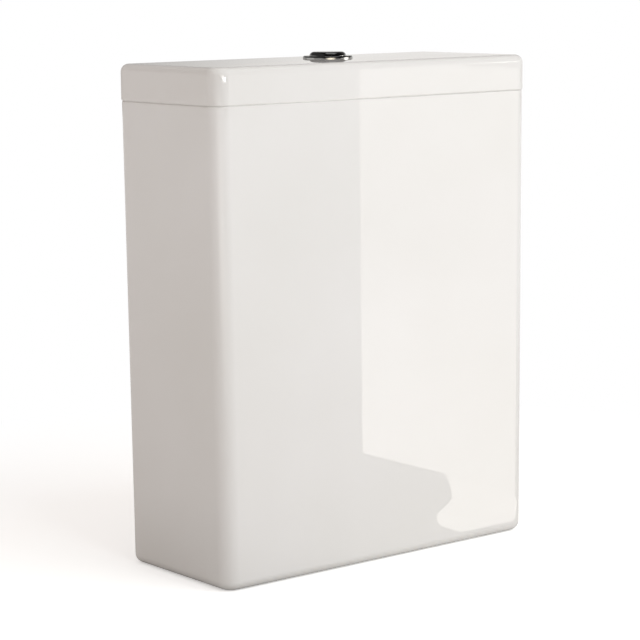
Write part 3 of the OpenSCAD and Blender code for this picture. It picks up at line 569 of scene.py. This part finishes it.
def make_bezel():
    """The chrome ring round the button: a spigot in the lid's recess, a foot on the lid, a steep face, a
    round brow and a thin lip that holds the button in."""
    low, high = box_mm("button_bezel")
    r, h = high.x, high.z - low.z
    seat = LID_CROWN
    foot, brow, lip_edge = 0.08, 1.6, 0.4
    slope = 4.5
    wall, spigot_gap = 1.2, 0.05
    inner = r - wall
    spigot = SEAT_R - spigot_gap
    face_h = h - seat - foot - brow * (1 - math.sin(math.radians(slope)))
    lean = math.tan(math.radians(slope)) * face_h
    outline = [(spigot, 0), (spigot, seat)] + arc(r - foot, seat + foot, foot, -90, slope, 12)
    outline += arc(r - lean - brow, h - brow, brow, slope, 90, 12)
    outline += arc(LIP_R + lip_edge, h - lip_edge, lip_edge, 90, 180, 6)
    outline += [(LIP_R, h - LIP_T), (inner, h - LIP_T), (inner, 0)]
    bezel = turned("bezel_ring", [(radius, low.z + z) for radius, z in outline], steps=160)
    smooth(bezel)
    stand_for(bezel, "button_bezel")


def make_buttons():
    """The divided button: two chromed caps, hollow below, each with a wall at the split and a boss for its
    rod."""
    edge_r, soft_r = 4.3, 0.25
    wall, split_wall, roof = 1.6, 1.2, 2
    flange, flange_gap, flange_t = 1, 0.3, 1.8
    flange_r = LIP_R + flange - flange_gap
    boss_wall, socket_gap = 1.3, 0.1
    boss_r, socket_r = ROD_R + boss_wall, ROD_R + socket_gap
    lip_z = box_mm("button_bezel")[1].z - LIP_T
    reach = BUTTON_R + FAR_PAST
    for node, side in (("full_button", -1), ("half_button", 1)):
        low, high = box_mm(node)
        split = high.x if side < 0 else low.x
        rod_node = node.replace("button", "rod")
        rod, rod_top = middle_mm(rod_node), box_mm(rod_node)[1].z
        outline = [(0, low.z), (BUTTON_R, low.z), (BUTTON_R, lip_z - flange_t)]
        outline += [(flange_r, lip_z - flange_t), (flange_r, lip_z), (BUTTON_R, lip_z)]
        outline += arc(BUTTON_R - edge_r, high.z - edge_r, edge_r, 0, 90, 20) + [(0, high.z)]
        cap = turned(node + "_cap", outline, steps=160)
        under = high.z - roof
        inside = BUTTON_R - wall
        below, above = low.z - 2 * PAST, high.z + PAST
        cavity = turned("cavity", [(0, low.z - PAST), (inside, low.z - PAST), (inside, under), (0, under)])
        ends = [sorted((split + side * shift, -side * reach)) for shift in (0, split_wall)]
        carve(cavity, [block(*ends[1], -reach, reach, below, above)])
        carve(cap, [cavity, block(*ends[0], -reach, reach, below, above)])
        carve(cap, [turned("boss", [(0, low.z), (boss_r, low.z), (boss_r, under + PAST), (0, under + PAST)],
                           rod.x, rod.y, steps=48)], "UNION")
        carve(cap, [turned("socket", [(0, low.z - PAST), (socket_r, low.z - PAST), (socket_r, rod_top),
                                      (0, rod_top)], rod.x, rod.y, steps=48)])
        soften(cap, soft_r)
        smooth(cap)
        stand_for(cap, node)


def make_springs():
    """The two return springs, wound with closed ends."""
    wire, mean, turns, closed = 0.4, 4.55, 7, 0.8
    shut_pitch = 2.1 * wire
    around, sides = 32, 10
    for name in ("full", "half"):
        low, high = box_mm(name + "_spring")
        axis = (low + high) / 2
        span = high.z - low.z - 2 * wire
        tight = shut_pitch * closed
        mesh = bmesh.new()
        rows = []
        for i in range(turns * around + 1):
            t = i / around
            a = math.tau * t
            open_turns = min(max(t - closed, 0), turns - 2 * closed)
            shut_turns = t - open_turns
            rise = shut_turns / closed * tight + open_turns / (turns - 2 * closed) * (span - 2 * tight)
            row = []
            for k in range(sides):
                b = math.tau * k / sides
                r = mean + wire * math.cos(b)
                row.append(mesh.verts.new(Vector((axis.x + r * math.cos(a), axis.y + r * math.sin(a),
                                                  low.z + wire + rise + wire * math.sin(b))) * MM))
            rows.append(row)
        for first, second in zip(rows, rows[1:]):
            for k in range(sides):
                n = (k + 1) % sides
                mesh.faces.new((first[k], first[n], second[n], second[k]))
        mesh.faces.new(rows[0])
        mesh.faces.new(rows[-1])
        spring = to_object(name + "_spring_coil", mesh)
        smooth(spring)
        stand_for(spring, name + "_spring")
        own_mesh(spring)


def make_housing():
    """The threaded cup that hangs under the button, with two tubes that guide the rods."""
    low, high = box_mm("button_housing")
    gasket_top = box_mm("button_gasket")[1].z
    floor_top = box_mm("full_spring")[0].z
    floor_t, lead_in, plain = 2.5, 1, 2
    floor_low = floor_top - floor_t
    barrel, bore, edge = 19.1, 17.6, 0.3
    pitch, depth = 2, 0.8
    thread_low, thread_high = floor_low + lead_in, gasket_top - plain
    flange = high.x
    outline = [(0, floor_low), (barrel - lead_in, floor_low)]
    outline += thread_rows(barrel, thread_low, thread_high, pitch)
    outline += [(barrel, gasket_top), (flange - edge, gasket_top), (flange, gasket_top + edge),
                (flange, high.z - edge), (flange - edge, high.z), (bore, high.z), (bore, floor_top),
                (0, floor_top)]
    cup = turned("housing_cup", outline, steps=128, thread=(barrel, thread_low, thread_high, pitch, depth))
    tube_wall, guide_gap = 2.2, 0.3
    tube_r, guide_r = ROD_R + tube_wall, ROD_R + guide_gap
    for node in ("full_rod", "half_rod"):
        rod = middle_mm(node)
        carve(cup, [turned("tube", [(0, low.z), (tube_r - edge, low.z), (tube_r, low.z + edge),
                                    (tube_r, floor_low + PAST), (0, floor_low + PAST)],
                           rod.x, rod.y, steps=48)], "UNION")
        carve(cup, [turned("guide", [(0, low.z - PAST), (guide_r, low.z - PAST),
                                     (guide_r, floor_top + PAST), (0, floor_top + PAST)],
                           rod.x, rod.y, steps=48)])
    smooth(cup)
    stand_for(cup, "button_housing")


make_bezel()
make_buttons()
make_springs()
make_housing()


# Inlet of the fill valve

def make_fill_shank():
    """The threaded water inlet under the tank, its flange inside and the pipe that carries the fill
    valve."""
    low, high = box_mm("fill_shank")
    nut_low = box_mm("fill_nut")[0].z
    flange_low = box_mm("fill_washer")[1].z
    axis = (low + high) / 2
    bore, r, riser = 6, 10.4, 10
    flange, flange_t, edge, shoulder = high.x - axis.x, 4, 0.5, 1
    flange_top = flange_low + flange_t
    relief, relief_depth = 1.5, 0.6
    relief_r = r - relief_depth
    pitch, depth, lead_in = 1.8, 1.0, 1
    thread_low, thread_high = low.z + lead_in, nut_low - relief
    outline = [(bore, low.z), (r - lead_in, low.z)] + thread_rows(r, thread_low, thread_high, pitch)
    outline += [(relief_r, thread_high), (relief_r, nut_low), (r, nut_low), (r, flange_low),
                (flange - edge, flange_low), (flange, flange_low + edge), (flange, flange_top - shoulder),
                (flange - shoulder, flange_top), (riser, flange_top), (riser, high.z), (bore, high.z)]
    shank = turned("fill_shank_pipe", outline, axis.x, axis.y,
                   thread=(r, thread_low, thread_high, pitch, depth))
    smooth(shank)
    stand_for(shank, "fill_shank")


make_fill_shank()


# Pieces carried over as they are, with eased edges. The fill valve's cap has finer shapes than the others.

EASED_R, CAP_EASED_R = 0.3, 0.12

for node_name in SLOTS:
    if node_name not in STOOD_FOR:
        ease_edges(frame["nodes"][node_name], CAP_EASED_R if node_name == "fill_cap" else EASED_R)


# Floor, studio light and the white background

WARM_WHITE, CREAM_WHITE, COOL_WHITE = "#FFFBF4", "#FFF3DE", "#F2FBFF"


def make_floor():
    """A plain pale floor with painted shade: a darker patch at the cistern's left, which only bounced light
    and gloss see, keeps the light on the cistern's lower left low. To the camera it is white, apart from
    the cistern's shadow around its foot."""
    half, drop = 6000, 0.4
    # Painted shade on the floor: darkest within the first radius of this spot at the cistern's left, fading
    # out by the second.
    painted_shade_x, painted_shade_y, painted_shade_r, painted_shade_end_r = -270, -20, 80, 300
    shadow_r, white_r = 300, 700
    near_r, backdrop_r = 400, 2800
    matt = 0.5
    mesh = bmesh.new()
    bmesh.ops.create_grid(mesh, x_segments=8, y_segments=8, size=half * MM)
    floor = to_object("floor", mesh)
    floor.location.z = -drop * MM
    material, tree, place = new_material("matt_white_floor")
    paint = add(tree, "ShaderNodeTexNoise", {"Vector": place, "Scale": patches(400)})
    pale = add(tree, "ShaderNodeMix", {"Factor": paint.outputs["Fac"], "A": linear("#ECECEB"),
                                       "B": linear("#F6F6F5")}, data_type="RGBA")
    paper = add(tree, "ShaderNodeBsdfDiffuse", {"Color": pale.outputs["Result"], "Roughness": matt})
    beside = add(tree, "ShaderNodeVectorMath", {0: place, 1: (painted_shade_x * MM, painted_shade_y * MM, 0.0)},
                 operation="DISTANCE")
    outside_painted_shade = add(tree, "ShaderNodeMapRange", {"Value": beside.outputs["Value"], "From Min": painted_shade_r * MM,
                                             "From Max": painted_shade_end_r * MM})
    # Painted shade: a darker floor colour near the cistern's left, which dims the light bounced onto the
    # cistern's lower left.
    painted_shade_tone = add(tree, "ShaderNodeMix", {"Factor": outside_painted_shade.outputs["Result"], "A": linear("#CACAC8"),
                                       "B": pale.outputs["Result"]}, data_type="RGBA")
    # The floor with its painted shade, used for bounced light and for what gloss shows of the floor.
    dull = add(tree, "ShaderNodeBsdfDiffuse", {"Color": painted_shade_tone.outputs["Result"], "Roughness": matt})
    lift = add(tree, "ShaderNodeEmission", {"Strength": 0.42})
    lit = add(tree, "ShaderNodeAddShader", {0: paper.outputs["BSDF"], 1: lift.outputs["Emission"]})
    white = add(tree, "ShaderNodeEmission", {"Strength": 1.0})
    away = add(tree, "ShaderNodeVectorMath", {0: place}, operation="LENGTH")
    near = add(tree, "ShaderNodeMapRange", {"Value": away.outputs["Value"], "From Min": shadow_r * MM,
                                            "From Max": white_r * MM})
    faded = add(tree, "ShaderNodeMixShader", {"Fac": near.outputs["Result"], 1: lit.outputs["Shader"],
                                              2: white.outputs["Emission"]})
    far = add(tree, "ShaderNodeMapRange", {"Value": away.outputs["Value"], "From Min": near_r * MM,
                                           "From Max": backdrop_r * MM})
    backdrop = add(tree, "ShaderNodeEmission", {"Strength": 0.9})
    mirrored = add(tree, "ShaderNodeMixShader", {"Fac": far.outputs["Result"], 1: dull.outputs["BSDF"],
                                                 2: backdrop.outputs["Emission"]})
    seen = add(tree, "ShaderNodeLightPath")
    gloss = add(tree, "ShaderNodeMixShader", {"Fac": seen.outputs["Is Glossy Ray"], 1: dull.outputs["BSDF"],
                                              2: mirrored.outputs["Shader"]})
    pick = add(tree, "ShaderNodeMixShader", {"Fac": seen.outputs["Is Camera Ray"],
                                             1: gloss.outputs["Shader"], 2: faded.outputs["Shader"]})
    add(tree, "ShaderNodeOutputMaterial", {"Surface": pick.outputs["Shader"]})
    floor.data.materials.append(material)


def make_surroundings():
    """White to the camera. What gloss shows is a pale backdrop behind the cistern and a dim room in front,
    grey towards its left, with a pale wall at either side."""
    view_ahead, view_right = (0.62, 0.77, 0.0), (0.78, -0.63, 0.0)
    world = bpy.data.worlds.new("studio")
    bpy.context.scene.world = world
    world.use_nodes = True
    tree = world.node_tree
    tree.nodes.clear()
    towards = add(tree, "ShaderNodeTexCoord").outputs["Generated"]
    behind = add(tree, "ShaderNodeVectorMath", {0: towards, 1: view_ahead}, operation="DOT_PRODUCT")
    beside = add(tree, "ShaderNodeVectorMath", {0: towards, 1: view_right}, operation="DOT_PRODUCT")
    backdrop = add(tree, "ShaderNodeMapRange", {"Value": beside.outputs["Value"], "From Min": -0.08,
                                                "From Max": 0.0, "To Min": 0.47, "To Max": 0.83})
    left_front = add(tree, "ShaderNodeMapRange", {"Value": beside.outputs["Value"], "From Min": -0.45,
                                                  "From Max": -0.2, "To Min": 0.34, "To Max": 0.04})
    left_wall = add(tree, "ShaderNodeMapRange", {"Value": beside.outputs["Value"], "From Min": -0.94,
                                                 "From Max": -0.89, "To Min": 0.75,
                                                 "To Max": left_front.outputs["Result"]})
    upward = add(tree, "ShaderNodeSeparateXYZ", {"Vector": towards})
    right_wall = add(tree, "ShaderNodeMapRange", {"Value": upward.outputs["Z"], "From Min": 0.03,
                                                  "From Max": 0.12, "To Min": 0.9, "To Max": 0.2})
    walls = add(tree, "ShaderNodeMapRange", {"Value": beside.outputs["Value"], "From Min": 0.89,
                                             "From Max": 0.94, "To Min": left_wall.outputs["Result"],
                                             "To Max": right_wall.outputs["Result"]})
    around = add(tree, "ShaderNodeMapRange", {"Value": behind.outputs["Value"], "From Min": 0.3,
                                              "From Max": 0.9, "To Min": walls.outputs["Result"],
                                              "To Max": backdrop.outputs["Result"]})
    dimming = add(tree, "ShaderNodeMapRange", {"Value": upward.outputs["Z"], "From Min": 0.1,
                                               "From Max": 0.35, "To Min": 1.0, "To Max": 0.12})
    glow = add(tree, "ShaderNodeMath", {0: around.outputs["Result"], 1: dimming.outputs["Result"]},
               operation="MULTIPLY")
    room = add(tree, "ShaderNodeBackground", {"Color": linear("#FFFDFA"),
                                              "Strength": glow.outputs["Value"]})
    soft = add(tree, "ShaderNodeBackground", {"Color": linear("#FFF6F1"), "Strength": 0.575})
    white = add(tree, "ShaderNodeBackground", {"Color": linear("#FFFFFF"), "Strength": 1.0})
    seen = add(tree, "ShaderNodeLightPath")
    gloss = add(tree, "ShaderNodeMixShader", {"Fac": seen.outputs["Is Glossy Ray"],
                                              1: soft.outputs["Background"], 2: room.outputs["Background"]})
    pick = add(tree, "ShaderNodeMixShader", {"Fac": seen.outputs["Is Camera Ray"],
                                             1: gloss.outputs["Shader"], 2: white.outputs["Background"]})
    add(tree, "ShaderNodeOutputWorld", {"Surface": pick.outputs["Shader"]})


def face_towards(obj, spot, aim):
    """Puts a lamp or card at a spot, turned to face the place that it aims at."""
    obj.location = Vector(spot) * MM
    obj.rotation_euler = (Vector(aim) - Vector(spot)).to_track_quat("-Z", "Y").to_euler()


def make_softbox(name, spot, aim, w, h, brightness, colour="#FFFFFF", lights=True, mirrored=True):
    """A soft panel of light, which may only light the pieces or only show in their gloss. Brightness 1
    would look white in a mirror."""
    lamp = bpy.data.lights.new(name, "AREA")
    lamp.shape = "RECTANGLE"
    lamp.size = w * MM
    lamp.size_y = h * MM
    lamp.energy = brightness * math.pi * lamp.size * lamp.size_y
    lamp.color = linear(colour)[:3]
    obj = bpy.data.objects.new(name, lamp)
    obj.visible_diffuse = lights
    obj.visible_glossy = mirrored
    face_towards(obj, spot, aim)
    bpy.context.scene.collection.objects.link(obj)


def show_in_gloss(card, material):
    """Makes a bright card part of the studio, seen only in the gloss of the pieces."""
    card.data.materials.append(material)
    card.visible_camera = False
    card.visible_diffuse = False
    card.visible_shadow = False


def make_card(name, outline, low, high):
    """A bright card with this outline. Its brightness goes from low at the floor to high at fade_h and
    above."""
    fade_h = 250
    mesh = bmesh.new()
    mesh.faces.new([mesh.verts.new(Vector(point) * MM) for point in outline])
    material, tree, place = new_material(name)
    height = add(tree, "ShaderNodeSeparateXYZ", {"Vector": place})
    fading = add(tree, "ShaderNodeMapRange", {"Value": height.outputs["Z"], "From Min": 0.0,
                                              "From Max": fade_h * MM, "To Min": low, "To Max": high})
    shine = add(tree, "ShaderNodeEmission", {"Color": linear(WARM_WHITE),
                                             "Strength": fading.outputs["Result"]})
    add(tree, "ShaderNodeOutputMaterial", {"Surface": shine.outputs["Emission"]})
    show_in_gloss(to_object(name, mesh), material)


def make_glow(name, spot, aim, w, h, brightness, colour):
    """An oval glow, even in the middle and fading out towards its edge. What is behind it shows through."""
    even = 0.3
    mesh = bmesh.new()
    edge = [(x * w / 2, y * h / 2, 0) for x, y in arc(0, 0, 1, 0, 355, 71)]
    mesh.faces.new([mesh.verts.new(Vector(point) * MM) for point in edge])
    material, tree, place = new_material(name)
    across = add(tree, "ShaderNodeVectorMath", {0: place, 1: (2 * patches(w), 2 * patches(h), 0.0)},
                 operation="MULTIPLY")
    away = add(tree, "ShaderNodeVectorMath", {0: across.outputs["Vector"]}, operation="LENGTH")
    fading = add(tree, "ShaderNodeMapRange", {"Value": away.outputs["Value"], "From Min": even,
                                              "From Max": 1.0, "To Min": brightness, "To Max": 0.0})
    shine = add(tree, "ShaderNodeEmission", {"Color": linear(colour), "Strength": fading.outputs["Result"]})
    clear = add(tree, "ShaderNodeBsdfTransparent")
    haze = add(tree, "ShaderNodeAddShader", {0: shine.outputs["Emission"], 1: clear.outputs["BSDF"]})
    add(tree, "ShaderNodeOutputMaterial", {"Surface": haze.outputs["Shader"]})
    glow = to_object(name, mesh)
    face_towards(glow, spot, aim)
    show_in_gloss(glow, material)


make_floor()
make_surroundings()
make_softbox("softbox_overhead", (300, -200, 2300), (0, 0, 400), w=1200, h=1200, brightness=0.3)
make_softbox("softbox_in_front", (500, -1710, 1500), (0, 0, 250), w=2400, h=800, brightness=3.65,
             colour=COOL_WHITE, mirrored=False)

# Bright shapes that show in the gloss and light nothing
make_glow("glow_by_camera", (-507, -1088, 628), (0, 0, 440), w=1150, h=240, brightness=4.2,
          colour=CREAM_WHITE)
make_glow("glow_to_the_left", (-656, -553, 225), (-161, -58, 225), w=720, h=440, brightness=1.5,
          colour=WARM_WHITE)
make_glow("glow_to_the_right", (1120, -716, 668), (0, 0, 440), w=1000, h=200, brightness=10.0,
          colour=WARM_WHITE)
make_softbox("strip_in_front", (-255, -966, 390), (-255, 0, 390), w=430, h=7, brightness=10.0,
             lights=False)

# An upright card and a card on the floor, which meet to the right of the cistern
CARD_X, CARD_Z = 267, 2
make_card("card_beside_front", [(CARD_X, -421, 2.5), (CARD_X, -144, 2.5), (CARD_X, -144, 420),
                                (CARD_X, -421, 420)], low=3.3, high=2.2)
CARD_EDGE = [(CARD_X, -287), (234, -244), (199, -202), (172, -181), (146, -165), (128, -145), (116, -128),
             (112, -95), (CARD_X, -95)]
make_card("card_on_floor", [(x, y, CARD_Z) for x, y in CARD_EDGE], low=3.5, high=3.5)

bpy.context.scene.view_settings.view_transform = "Standard"
